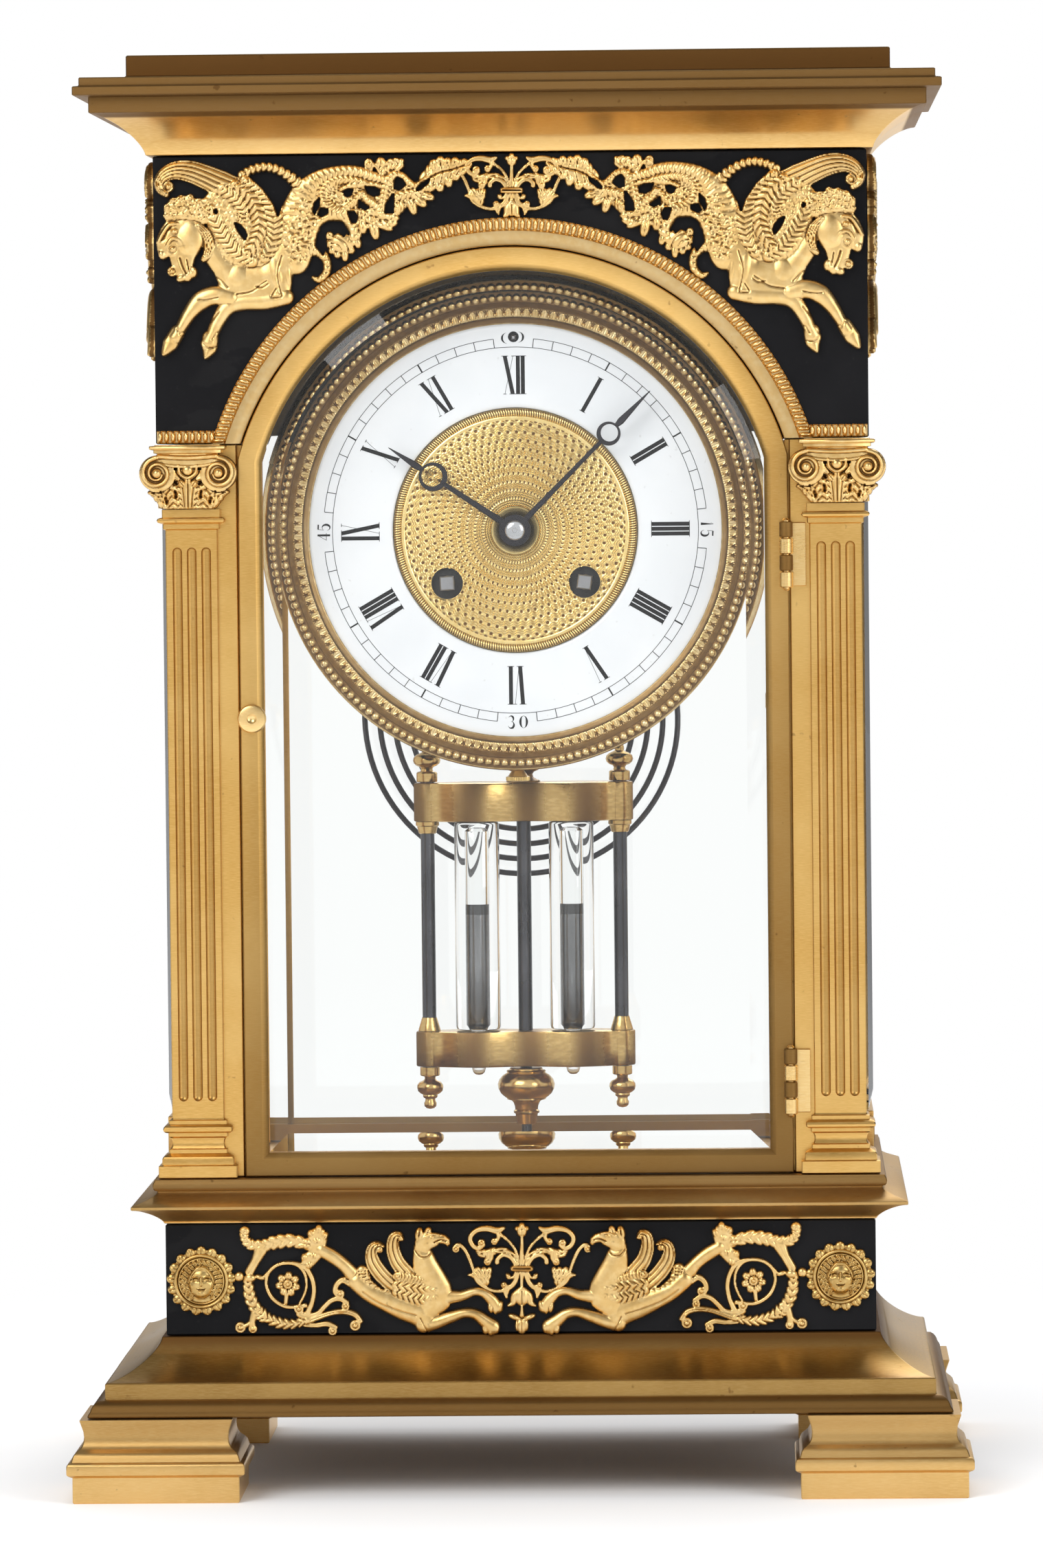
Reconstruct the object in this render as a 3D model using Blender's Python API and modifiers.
"""Crystal regulator clock: gilt brass and black marble case with four bevelled glasses, an arched
front, an enamel dial and a compensating pendulum with two mercury vials.

Metres, +Z up, the front faces -Y, the origin is on the ground under the middle of the case.
"Depth" is measured backwards from the front face of the marble blocks."""

import math

import bmesh
import bpy
from mathutils import Matrix, Vector

# Case: overall plan of the marble blocks, and the gap that touching pieces keep
CASE_W = 0.229
CASE_D = 0.150
SEAT = 0.0003
OVERRUN = 0.003
ARRIS = 0.0004
WELD = 0.000002
HALF_W = CASE_W / 2
HALF_D = CASE_D / 2

# Feet
FOOT_W = 0.0535
FOOT_D = 0.048
FOOT_H = 0.0265
FOOT_OUT = 0.0287
FOOT_RELIEF = 0.0018
FOOT_shares = [
    (0, 0), (0, 0.313), (0.67, 0.336), (1, 0.362), (1, 0.46), (0.72, 0.487), (0.22, 0.502),
    (-0.14, 0.577), (-1.06, 0.634), (-1.72, 0.694), (-2, 0.792), (-1.56, 0.932), (-1.28, 1),
]

# Base: gilt plate, marble block, gilt cornice with the rails that carry the side glasses
BASE_PLATE_H = 0.0238
BASE_PLATE_OUT = 0.02405
BASE_BLOCK_H = 0.0359
BASE_CORNICE_H = 0.0144
BASE_CORNICE_OUT = 0.0104
RAIL_H = 0.019
BASE_OVOLO_shares = [
    (0.98, 0), (1, 0.02), (0.981, 0.05), (0.956, 0.118), (0.915, 0.185), (0.869, 0.218),
    (0.778, 0.24), (0.778, 0.441),
]
BASE_COVE_shares = ((0.05, 0.996), (0.765, 0.45))
CORNICE_COVE_shares = ((0.04, 0), (1, 0.361))
CORNICE_TOP_shares = [
    (1, 0.43), (0.62, 0.52), (0.36, 0.62), (0.22, 0.708), (0.22, 0.74), (0.32, 0.76),
    (0.36, 0.81), (0.36, 0.9), (0.33, 0.95), (0.308, 0.965), (0.308, 1),
]
COVE_POWER = 1.4
COVE_STEPS = 6

# Corner posts: fluted pilaster, jamb strip beside the door, stop behind it, tongue inside the glass
POST_INSET = 0.0109
POST_H = 0.2363
SHAFT_W = 0.0168
SHAFT_D = 0.014
SHAFT_SET = 0.002
POST_BASE_H = 0.0187
POST_BASE_RELIEF = 0.0043
NECK_H = 0.0063
NECK_RELIEF = 0.0026
NECK_DROP = 0.0208
FLUTES = 3
FLUTE_PITCH = 0.00465
FLUTE_W = 0.0031
FLUTE_MARGIN = 0.0059
FLUTE_SIDES = 8
SMALL_SIDES = 8
JAMB_SET = 0.0035
JAMB_LAP = 0.001
STOP_W = 0.0015
TONGUE_W = 0.0057
TONGUE_D = 0.003
REAR_HEAD_RELIEF = 0.0034
REAR_HEAD_H = 0.0036
POST_BASE_shares = [
    (1, 0), (1, 0.219), (0.744, 0.23), (0.744, 0.353), (0.233, 0.422), (0.233, 0.487),
    (0, 0.594), (0.279, 0.711), (0.279, 0.77), (0.5, 0.79), (0.66, 0.815), (0.66, 0.87),
    (0.5, 0.89), (0.233, 0.92), (0.233, 0.985), (0, 1),
]
NECK_shares = [
    (0.27, 0), (0.27, 0.3), (0.8, 0.33), (1, 0.42), (1, 0.5), (0.8, 0.56), (0.385, 0.585),
    (0.385, 1),
]

# Capitals
CAPITAL_LEAN = 0.0006
CAPITAL_FRONT = 0.0045
VOLUTE_R = 0.0054
VOLUTE_X = 0.0099
VOLUTE_DROP = 0.0096
VOLUTE_SIDES = 14
EYE_R = 0.0015
EYE_OUT = 0.0011
ABACUS_W = 0.0244
ABACUS_H = 0.0011
ABACUS_STEP = 0.0013
ABACUS_OUT = 0.0008
BELL_W = 0.0188
BELL_FRONT = 0.0014
BELL_FLARE = 0.0012
BAND_W = 0.0198
BAND_H = 0.0075
BAND_DROP = 0.0025
BAND_FRONT = 0.0034
LEAF_R = 0.0026

# Upper block, its arch, and the cornice on top
UPPER_H = 0.0923
TOP_H = 0.0318
TOP_OUT = 0.0238
TOP_COVE_shares = ((0.1, 0), (0.773, 0.409))
TOP_shares = [
    (0.8, 0.415), (0.8, 0.572), (1, 0.582), (1, 0.673), (0.916, 0.686), (0.916, 0.764),
    (0.3235, 0.78), (0.3235, 1),
]

# Doors: the arch is struck from one centre, the frame has a chamfered face and a rebate for the glass
ARCH_DROP = 0.0295
ARCH_SPRING = 0.0033
ARCH_STEPS = 24
DOOR_INSET = 0.0261
DOOR_GAP = 0.0005
DOOR_LIFT = 0.0002
DOOR_SET = 0.0015
DOOR_T = 0.007
FRAME_FLAT = 0.0057
FRAME_W = 0.0075
FRAME_CHAMFER = 0.0018
FRAME_LIP = 0.003
REBATE_W = 0.0055
GLASS_T = 0.0015
GLASS_CROWN = 0.003
GLASS_LAND = 0.002
BEVEL_W = 0.006
LINING_T = 0.002
MOULDING_W = 0.0088
MOULDING_OUT = 0.0023
BEAD_H = 0.0042
BEAD_L = 0.0191
BLOCK_BITE = 0.0003
SMOOTH_shares = [(0, 0.17), (1, 0.65)]
BAND_shares = [(0, 0.3), (0.12, 0.7), (0.33, 1), (0.67, 1), (0.88, 0.7), (1, 0.26)]
BAND_share = 0.455

# Hinges
HINGE_INSET = 0.0007
HINGE_OUT = 0.0002
HINGE_KNUCKLES = 4
HINGE_L = 0.0212
HINGE_R = 0.00215
HINGE_SIDES = 8
PIN_R = 0.0009
PIN_CLEARANCE = 0.0003
HINGE_RISE = 0.0191
HINGE_DROP = 0.0477
LEAF_IN = 0.00105
LEAF_W = 0.0053
LEAF_T = 0.0013
WEB_W = 0.0013

# Catches
CATCH_INSET = 0.0037
CATCH_RISE = 0.148
CATCH_R = 0.00465
CATCH_OUT = 0.0025
CATCH_EDGE = 0.0006
DIMPLE_R = 0.0016
DIMPLE_D = 0.0007
SHANK_R = 0.001
SHANK_CLEARANCE = 0.0003
TURN_W = 0.003
TURN_T = 0.0015
TURN_L = 0.0068
TURN_ROOM = 0.001
CATCH_STEPS = 12

# Side glasses
SIDE_INSET = 0.0001
SIDE_GLASS_T = 0.0044
SIDE_EDGE_T = 0.0014
SIDE_CORNER_R = 0.003
CORNER_STEPS = 3

# Cast mounts on the marble: outlines as shares of each mount's width and height
MOUNT_T = 0.003
SPANDREL_W = 0.1
SPANDREL_H = 0.065
SPANDREL_EDGE = 0.001
SPANDREL_TOP = 0.0002
SPANDREL_shares = [
    (0, 0.885), (0.02, 0.965), (0.085, 0.98), (0.155, 0.954), (0.235, 0.888), (0.3, 0.943),
    (0.385, 0.946), (0.465, 0.878), (0.535, 0.923), (0.605, 0.946), (0.677, 0.923),
    (0.715, 0.985), (0.785, 0.981), (0.825, 0.892), (0.875, 0.985), (0.945, 0.99), (1, 0.946),
    (0.99, 0.877), (0.935, 0.862), (0.885, 0.818), (0.825, 0.746), (0.775, 0.651),
    (0.715, 0.595), (0.635, 0.543), (0.585, 0.476), (0.535, 0.413), (0.475, 0.351),
    (0.425, 0.29), (0.29, 0.238), (0.22, 0.115), (0.205, 0.048), (0.16, 0.006), (0.152, 0.069),
    (0.19, 0.215), (0.135, 0.231), (0.072, 0.085), (0.037, 0.026), (0.013, 0.054),
    (0.085, 0.223), (0.155, 0.346), (0.12, 0.389), (0.075, 0.371), (0.03, 0.492),
    (0.002, 0.572), (0.028, 0.685), (0.03, 0.762), (0.1, 0.811), (0.14, 0.815), (0.065, 0.858),
]
SPANDREL_LOOP_shares = [
    (0.31, 0.89), (0.36, 0.885), (0.405, 0.84), (0.425, 0.76), (0.41, 0.68), (0.385, 0.76),
    (0.35, 0.83),
]
SPANDREL_SCROLL_shares = [
    (0.51, 0.585), (0.525, 0.635), (0.57, 0.675), (0.61, 0.64), (0.575, 0.64), (0.54, 0.6),
]
SPANDREL_EYE_shares = [(0.617, 0.81), (0.685, 0.82), (0.755, 0.73)]
SPANDREL_EYE_R = 0.0018
EYE_SIDES = 7
SIDE_MOUNT_W = 0.073
SIDE_MOUNT_CENTRE_shares = ((1, 0.9), (1, 0.97))

ARCH_MOUNT_W = 0.036
ARCH_MOUNT_H = 0.0199
ARCH_MOUNT_shares = [
    (0, 1), (0.1, 0.97), (0.07, 0.82), (0.22, 0.74), (0.47, 0.94), (0.66, 0.89), (0.68, 0.77),
    (0.53, 0.68), (0.5, 0.56), (0.75, 0.53), (0.97, 0.53), (0.97, 0.42), (0.77, 0.42),
    (0.68, 0.33), (0.73, 0.23), (0.5, 0.1), (0.28, 0.09), (0.155, 0.175), (0.13, 0), (0, 0.015),
]

FRIEZE_W = 0.088
FRIEZE_EDGE = 0.0215
FRIEZE_H = 0.0352
FRIEZE_shares = [
    (0.011, 0.544), (0.05, 0.64), (0.055, 0.8), (0.027, 0.985), (0.075, 0.88), (0.108, 0.844),
    (0.208, 0.898), (0.278, 0.858), (0.298, 0.986), (0.348, 0.816), (0.409, 0.697),
    (0.459, 0.603), (0.484, 0.618), (0.505, 0.74), (0.535, 0.81), (0.575, 0.84),
    (0.611, 0.904), (0.655, 0.86), (0.673, 0.99), (0.705, 0.985), (0.735, 0.912), (0.8, 0.85),
    (0.792, 0.788), (0.74, 0.742), (0.761, 0.618), (0.799, 0.453), (0.82, 0.395),
    (0.911, 0.388), (0.966, 0.297), (0.984, 0.173), (0.932, 0.215), (0.866, 0.229),
    (0.916, 0.167), (0.974, 0.091), (0.98, 0.012), (0.918, 0.015), (0.886, 0.11),
    (0.835, 0.105), (0.739, 0.025), (0.7, 0.015), (0.659, 0.11), (0.609, 0.139),
    (0.508, 0.227), (0.477, 0.04), (0.42, 0.028), (0.361, 0.01), (0.332, 0.091),
    (0.268, 0.051), (0.205, 0.031), (0.128, 0.096), (0.07, 0.01), (0.015, 0.04),
    (0.028, 0.178), (0.034, 0.391),
]
FRIEZE_SCROLL_shares = [
    (0.09, 0.42), (0.1, 0.62), (0.15, 0.75), (0.2, 0.77), (0.13, 0.62), (0.115, 0.45),
    (0.14, 0.28), (0.2, 0.19), (0.14, 0.19), (0.1, 0.28),
]
FRIEZE_TAIL_shares = [(0.4, 0.5), (0.43, 0.56), (0.46, 0.48), (0.45, 0.34), (0.41, 0.38)]
CENTRE_MOUNT_W = 0.042
CENTRE_MOUNT_shares = [
    (0, 1), (0.16, 0.97), (0.1, 0.82), (0.38, 0.93), (0.6, 0.965), (0.81, 0.89), (0.79, 0.8),
    (0.67, 0.77), (0.81, 0.72), (0.9, 0.8), (0.98, 0.8), (0.975, 0.74), (0.895, 0.7),
    (0.87, 0.575), (0.83, 0.47), (0.53, 0.43), (0.24, 0.49), (0.23, 0.405), (0.1, 0.36),
    (0.2, 0.235), (0.14, 0.135), (0.19, 0.11), (0.11, 0), (0, 0),
]
CENTRE_HOLE_shares = [(0.3, 0.64), (0.45, 0.78), (0.62, 0.66), (0.55, 0.53), (0.38, 0.55)]
MEDALLION_EDGE = 0.0115
MEDALLION_R = 0.0108
SCALLOP_COUNT = 17
MEDALLION_T = 0.0012
SCALLOP_share = 0.06
SCALLOP_STEPS = 2
MEDALLION_RIM_R = 0.0086
MEDALLION_RIM_W = 0.0009
MEDALLION_STEPS = 16

# Dial
DIAL_RISE = 0.0005
BEZEL_R = 0.0778
BEZEL_FRONT = 0.0202
BEZEL_BACK = 0.0317
BEZEL_BORE = 0.0669
BEZEL_STEPS = 36
BEZEL_shares = [
    (1, 0), (1, 0.76), (0.88, 0.94), (0.77, 1), (0.66, 0.94), (0.57, 0.67), (0.47, 0.58),
    (0.22, 0.6), (0.19, 0.5), (0, 0.42), (0, 0.325),
]
ENAMEL_R = 0.0685
ENAMEL_T = 0.002
ENAMEL_EDGE = 0.0004
CENTRE_R = 0.0395
CENTRE_PROUD = 0.0014
CENTRE_RIM = 0.0035
CENTRE_RIM_PROUD = 0.0006
CENTRE_BORE = 0.0034
CENTRE_BOSS_R = 0.008
WIND_X = 0.0223
WIND_DROP = 0.017
WIND_HOLE_R = 0.0041
WIND_RING_W = 0.0012
WIND_RING_PROUD = 0.0007
WIND_SIDES = 14
REGULATOR_R = 0.0016
REGULATOR_RISE = 0.061
DIAL_STEPS = 28

# Hands, at seven minutes past ten
MINUTE_ANGLE = math.radians(44.7)
HOUR_ANGLE = math.radians(303.7)
MINUTE_L = 0.0629
HOUR_L = 0.049
MINUTE_FRONT = 0.0216
HOUR_FRONT = 0.0238
HAND_T = 0.0009
MINUTE_RING_AT = 0.0436
HOUR_RING_AT = 0.0317
MINUTE_RING_R = 0.0039
HOUR_RING_R = 0.0047
HAND_ROOT_W = 0.0024
HAND_NECK_W = 0.0012
HAND_RING_W = 0.0011
RING_STEPS = 10
COLLET_R = 0.0051
COLLET_OUT = 0.0012
HOUR_PIPE_R = 0.0029
HOUR_PIPE_BORE = 0.0019
HOUR_PIPE_END = 0.0335
CANNON_R = 0.0015

# Movement
CARRIER_FRONT = 0.032
CARRIER_T = 0.0025
CARRIER_R = 0.074
CARRIER_BORE = 0.046
SOFFIT_R = 0.0876
PLATE_R = 0.052
PLATE_T = 0.0025
BACK_PLATE_R = 0.05
PLATE_SPACE = 0.033
PILLAR_R = 0.0026
PILLAR_WAIST_share = 0.7
PILLAR_shares = [(-0.77, 0.46), (0.77, 0.46), (-0.25, -0.88), (0.25, -0.88)]
BARREL_R = 0.02
BARREL_FRONT = 0.0445
BARREL_D = 0.019
BARREL_LID = 0.0018
BARREL_STEP = 0.0012
BARREL_STEPS = 20
ARBOR_R = 0.0025
SQUARE_W = 0.0034
SQUARE_FRONT = 0.0252
ARBOR_CLEARANCE = 0.0003
WHEEL_R = 0.0155
WHEEL_TEETH = 30
TOOTH_H = 0.0009
WHEEL_T = 0.0014
WHEEL_FRONT = 0.0395
WHEEL_RIM = 0.0018
WHEEL_HUB = 0.0035
SPOKES = 4
SPOKE_W = 0.0016
ESCAPE_RISE = 0.022
ESCAPE_R = 0.0115
ESCAPE_TEETH = 30
ESCAPE_TOOTH = 0.0022
ESCAPE_LEAN_share = 0.4
ESCAPE_T = 0.0012
ESCAPE_FRONT = 0.062
THIN_ARBOR_R = 0.0011
PALLET_RISE = 0.04
ANCHOR_W = 0.0125
ANCHOR_shares = [
    (0, 0.25), (0.35, 0.12), (1, -0.65), (0.97, -0.88), (0.86, -0.62), (0.3, -0.24), (0, -0.26),
]
CRUTCH_FRONT = 0.0772
CRUTCH_W = 0.0022
CRUTCH_T = 0.0016
CRUTCH_L = 0.0295
FORK_W = 0.0016
FORK_END = 0.0915
COCK_W = 0.012
COCK_H = 0.004
COCK_BACK = 0.0945
COCK_DROP_T = 0.0027
STUD_R = 0.0014
STUD_HEAD_R = 0.0024
STUD_HEAD_T = 0.001
STUD_FRONT = 0.0842

# Strike: hammer and coiled gong
HAMMER_X = -0.036
HAMMER_Z_RISE = 0.012
HAMMER_PAST = 0.0015
HAMMER_ARM_L = 0.0335
HAMMER_ARM_W = 0.0018
HAMMER_HEAD_R = 0.0035
HAMMER_HEAD_L = 0.009
HAMMER_LEAN = math.radians(23)
GONG_DROP = 0.0634
GONG_ROOM = 0.035
GONG_R = 0.055
GONG_PITCH = 0.005
GONG_TURNS = 4
GONG_WIRE_R = 0.00095
GONG_POINTS = 24
GONG_LEAD = 0.0027
GONG_BLOCK = 0.009
GONG_BLOCK_H = 0.008
GONG_BLOCK_RISE = 0.0014
STRAP_T = 0.003
STRAP_W = 0.0075
STRAP_X = -0.020
STRAP_DROP = 0.0019

# Pendulum
PENDULUM_DEPTH = 0.0875
ROD_R = 0.00235
ROD_THREAD_R = 0.0017
ROD_END = 0.1056
EYE_RING_R = 0.0036
EYE_BORE = 0.0017
EYE_T = 0.0032
UPPER_BAR_Z = 0.2125
UPPER_BAR_H = 0.0128
LOWER_BAR_Z = 0.131
LOWER_BAR_H = 0.0117
BAR_HALF = 0.0364
BAR_END_R = 0.0056
BAR_LOBE_R = 0.0098
BAR_WAIST = 0.0052
BAR_POWER = 8
BAR_HUB_R = 0.0075
LOBE_STEPS = 6
VIAL_X = 0.0157
VIAL_R = 0.00745
TEAT_R = 0.0023
TEAT_END = 0.1279
TEAT_TIP_share = 0.7
VIAL_FOOT_share = 0.8
VIAL_STEPS = 14
SIDE_ROD_X = 0.032
SIDE_ROD_R = 0.0023
SIDE_ROD_TOP = 0.0126
SIDE_ROD_FOOT = 0.014
FINIAL_R = 0.0046
FERRULE_R = 0.0038
FERRULE_H = 0.004
FINIAL_shares = [
    (0.33, 1), (0.35, 0.84), (0.74, 0.72), (1, 0.57), (0.74, 0.43), (0.41, 0.35), (0.76, 0.26), (0.76, 0),
]
FERRULE_shares = [(1, 0), (1, 0.32), (0.72, 0.95), (0.62, 1)]
LOWER_FINIAL_shares = [
    (0.72, 0), (0.72, 0.19), (0.39, 0.26), (0.78, 0.36), (0.95, 0.49), (0.7, 0.62), (0.37, 0.77),
    (0.46, 0.87), (0.28, 0.98),
]
BAR_CLEARANCE = 0.0003
NUT_R = 0.0095
NUT_H = 0.0187
NUT_SIDES = 10
NUT_shares = [
    (0.56, 0), (0.56, 0.04), (0.69, 0.06), (0.67, 0.1), (0.87, 0.17), (1, 0.29), (0.92, 0.43), (0.68, 0.53),
    (0.66, 0.58), (0.42, 0.63), (0.4, 0.75), (0.46, 0.79), (0.38, 0.84), (0.34, 1),
]
PENDULUM_STEPS = 10

# Heights and depths that follow
PLATE_Z = FOOT_H + SEAT
BLOCK_Z = PLATE_Z + BASE_PLATE_H + SEAT
CORNICE_Z = BLOCK_Z + BASE_BLOCK_H + SEAT
POST_Z = CORNICE_Z + BASE_CORNICE_H + SEAT
POST_TOP = POST_Z + POST_H
UPPER_Z = POST_TOP + SEAT
UPPER_TOP = UPPER_Z + UPPER_H
TOP_Z = UPPER_TOP + SEAT
ARCH_Z = UPPER_Z - ARCH_DROP
DIAL_Z = ARCH_Z + DIAL_RISE
DOOR_Z = POST_Z + DOOR_LIFT
POST_X = HALF_W - POST_INSET
CAPITAL_X = POST_X + CAPITAL_LEAN
DOOR_HALF = HALF_W - DOOR_INSET
ARCH_R = DOOR_HALF + ARCH_SPRING
BEAD_X = HALF_W - BEAD_L
HINGE_X = DOOR_HALF - HINGE_INSET
HINGE_LOW_Z = POST_Z + HINGE_RISE
HINGE_HIGH_Z = POST_TOP - HINGE_DROP
CATCH_X = DOOR_HALF - CATCH_INSET
CATCH_Z = POST_Z + CATCH_RISE
SIDE_GLASS_X = HALF_W - SIDE_INSET
FRIEZE_X = HALF_W - FRIEZE_EDGE
MEDALLION_X = HALF_W - MEDALLION_EDGE
GONG_DEPTH = CASE_D - GONG_ROOM
HAMMER_BACK = GONG_DEPTH + HAMMER_PAST
SHAFT_IN = POST_X - SHAFT_W / 2
SHAFT_BACK = SHAFT_SET + SHAFT_D
JAMB_X = DOOR_HALF + DOOR_GAP
STOP_SET = DOOR_SET + DOOR_T + SEAT
MOULDING_R = ARCH_R + DOOR_GAP
MOULDING_OUTER = MOULDING_R + MOULDING_W
REBATE_R = MOULDING_R + LINING_T + SEAT
SIDE_IN = SIDE_GLASS_X - SIDE_GLASS_T
SIDE_BACK = SHAFT_BACK + SEAT
GLASS_Z = POST_Z - SEAT + RAIL_H + SEAT
ENAMEL_FRONT = BEZEL_BACK - BEZEL_shares[-1][1] * (BEZEL_BACK - BEZEL_FRONT) + SEAT
FRONT_PLATE_AT = CARRIER_FRONT + CARRIER_T + SEAT
BACK_PLATE_AT = FRONT_PLATE_AT + PLATE_T + PLATE_SPACE
PIVOT_Z = DIAL_Z + PALLET_RISE
GONG_Z = DIAL_Z - GONG_DROP

for old in list(bpy.data.objects):
    bpy.data.objects.remove(old)
PARTS = bpy.data.collections.new("crystal_regulator_clock")
TOOLS = bpy.data.collections.new("cutters")
bpy.context.scene.collection.children.link(PARTS)
bpy.context.scene.collection.children.link(TOOLS)


def material(name, colour, roughness, metallic=0.0, clear=0.0):
    made = bpy.data.materials.new(name)
    made.use_nodes = True
    shader = made.node_tree.nodes["Principled BSDF"]
    shader.inputs["Base Color"].default_value = (*colour, 1)
    shader.inputs["Roughness"].default_value = roughness
    shader.inputs["Metallic"].default_value = metallic
    shader.inputs["Transmission Weight"].default_value = clear
    return made


GILT = material("gilt_brass", (0.83, 0.62, 0.30), 0.3, 1)
MARBLE = material("black_marble", (0.012, 0.012, 0.014), 0.12)
GLASS = material("bevelled_glass", (0.95, 0.98, 0.97), 0.02, 0, 1)
ENAMEL = material("white_enamel", (0.86, 0.86, 0.84), 0.15)
BLUED = material("blued_steel", (0.03, 0.035, 0.06), 0.3, 1)
STEEL = material("grey_steel", (0.35, 0.36, 0.38), 0.3, 1)
BRASS = material("movement_brass", (0.78, 0.6, 0.28), 0.35, 1)
BLACKED = material("blackened_plate", (0.02, 0.02, 0.02), 0.5)


def new_object(mesh):
    """A working object, kept with the cutters until part() makes it a piece."""
    obj = bpy.data.objects.new(mesh.name, mesh)
    obj.hide_render = True
    obj.display_type = "WIRE"
    TOOLS.objects.link(obj)
    return obj


def part(obj, name, finish, pivot=None):
    """Makes the object a named piece, with its origin at pivot where it turns or slides there."""
    TOOLS.objects.unlink(obj)
    PARTS.objects.link(obj)
    obj.hide_render = False
    obj.display_type = "TEXTURED"
    obj.name = name
    obj.data.name = name
    obj.data.materials.clear()
    obj.data.materials.append(finish)
    if obj.type == "MESH":
        obj.data.shade_smooth()
        obj.data.set_sharp_from_angle(angle=math.radians(35))
    if pivot is not None:
        there = obj.matrix_world.inverted() @ Vector(pivot)
        obj.data.transform(Matrix.Translation(-there))
        obj.location = Vector(pivot)
    return obj


def boolean(target, operation, tools):
    for tool in tools:
        step = target.modifiers.new(operation.lower(), "BOOLEAN")
        step.operation = operation
        step.solver = "EXACT"
        step.object = tool
    return target


def fuse(target, *tools):
    return boolean(target, "UNION", tools)


def cut(target, *tools):
    return boolean(target, "DIFFERENCE", tools)


def mesh_of(bm, name):
    bmesh.ops.recalc_face_normals(bm, faces=bm.faces)
    mesh = bpy.data.meshes.new(name)
    bm.to_mesh(mesh)
    bm.free()
    return mesh


def box(one, other):
    """A box between two opposite corners, given in any order."""
    low = Vector([min(a, b) for a, b in zip(one, other)])
    high = Vector([max(a, b) for a, b in zip(one, other)])
    bm = bmesh.new()
    bmesh.ops.create_cube(bm, size=1)
    bmesh.ops.scale(bm, vec=high - low, verts=bm.verts)
    bmesh.ops.translate(bm, vec=(low + high) / 2, verts=bm.verts)
    return new_object(mesh_of(bm, "box"))


def rod(start, end, radius, sides):
    """A straight round bar from start to end."""
    start, end = Vector(start), Vector(end)
    bm = bmesh.new()
    bmesh.ops.create_cone(
        bm, cap_ends=True, segments=sides, radius1=radius, radius2=radius, depth=(end - start).length
    )
    turn = (end - start).to_track_quat("Z", "Y").to_matrix().to_4x4()
    bmesh.ops.transform(bm, matrix=Matrix.Translation((start + end) / 2) @ turn, verts=bm.verts)
    return new_object(mesh_of(bm, "rod"))


def loft(rings, ring_shaped=False):
    """Skins a row of rings with equal point counts; ring_shaped joins the last to the first."""
    bm = bmesh.new()
    rows = [[bm.verts.new(point) for point in ring] for ring in rings]
    pairs = list(zip(rows, rows[1:]))
    if ring_shaped:
        pairs.append((rows[-1], rows[0]))
    for near, far in pairs:
        for i in range(len(near)):
            j = (i + 1) % len(near)
            bm.faces.new((near[i], near[j], far[j], far[i]))
    if not ring_shaped:
        bm.faces.new(rows[0])
        bm.faces.new(rows[-1])
    return new_object(mesh_of(bm, "loft"))


def settled(obj, matrix):
    """Replaces a curve, or a mesh with a modifier, by the plain mesh it makes, set by matrix."""
    bpy.context.view_layer.update()
    mesh = bpy.data.meshes.new_from_object(obj.evaluated_get(bpy.context.evaluated_depsgraph_get()))
    bm = bmesh.new()
    bm.from_mesh(mesh)
    bmesh.ops.remove_doubles(bm, verts=bm.verts, dist=WELD)
    bmesh.ops.transform(bm, matrix=matrix, verts=bm.verts)
    bpy.data.objects.remove(obj)
    return new_object(mesh_of(bm, "settled"))


def turned(profile, centre, steps, front=False):
    """A profile of (radius, height) turned round Z, or, with front, of (radius, depth) round Y."""
    mesh = bpy.data.meshes.new("turned")
    points = [(r, 0, -h if front else h) for r, h in profile]
    edges = [(i, i + 1) for i in range(len(points) - 1)]
    if min(r for r, h in profile) > 0:
        edges.append((len(points) - 1, 0))
    mesh.from_pydata(points, edges, [])
    obj = new_object(mesh)
    screw = obj.modifiers.new("turn", "SCREW")
    screw.steps = steps
    screw.render_steps = steps
    screw.use_merge_vertices = True
    screw.merge_threshold = WELD
    upright = Matrix.Rotation(math.pi / 2, 4, "X") if front else Matrix()
    return settled(obj, Matrix.Translation(centre) @ upright)


def flat(outline, holes, thickness, matrix):
    """A plate cut to an outline with holes, centred on its own thickness, then set by matrix."""
    curve = bpy.data.curves.new("flat", "CURVE")
    curve.dimensions = "2D"
    curve.fill_mode = "BOTH"
    curve.extrude = thickness / 2
    curve.render_resolution_u = 0
    for ring in [outline, *holes]:
        spline = curve.splines.new("POLY")
        spline.points.add(len(ring) - 1)
        for knot, (x, y) in zip(spline.points, ring):
            knot.co = (x, y, 0, 1)
        spline.use_cyclic_u = True
    shape = bpy.data.objects.new("flat", curve)
    TOOLS.objects.link(shape)
    return settled(shape, matrix)


def facing_front(x, depth, z):
    """Sets a flat shape upright: its X stays, its Y becomes Z, its middle lies at the depth given."""
    return Matrix.Translation((x, depth - HALF_D, z)) @ Matrix.Rotation(math.pi / 2, 4, "X")


def circle(radius, sides, x=0.0, y=0.0):
    angles = [2 * math.pi * i / sides for i in range(sides)]
    return [(x + radius * math.cos(a), y + radius * math.sin(a)) for a in angles]


def hollow(start, end):
    """A flattened cavetto that leaves start upright and reaches end level."""
    points = []
    for i in range(COVE_STEPS + 1):
        a = math.pi / 2 * i / COVE_STEPS
        x = start[0] + (end[0] - start[0]) * (1 - math.cos(a) ** COVE_POWER)
        z = start[1] + (end[1] - start[1]) * math.sin(a) ** COVE_POWER
        points.append((x, z))
    return points


def moulding(centre, half_x, half_y, profile):
    """A rectangular block whose four sides follow a profile of (projection, height)."""
    rings = []
    for out, z in profile:
        x, y = half_x + out, half_y + out
        corners = [(-x, -y), (x, -y), (x, y), (-x, y)]
        rings.append([(centre[0] + cx, centre[1] + cy, z) for cx, cy in corners])
    return loft(rings)


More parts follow.
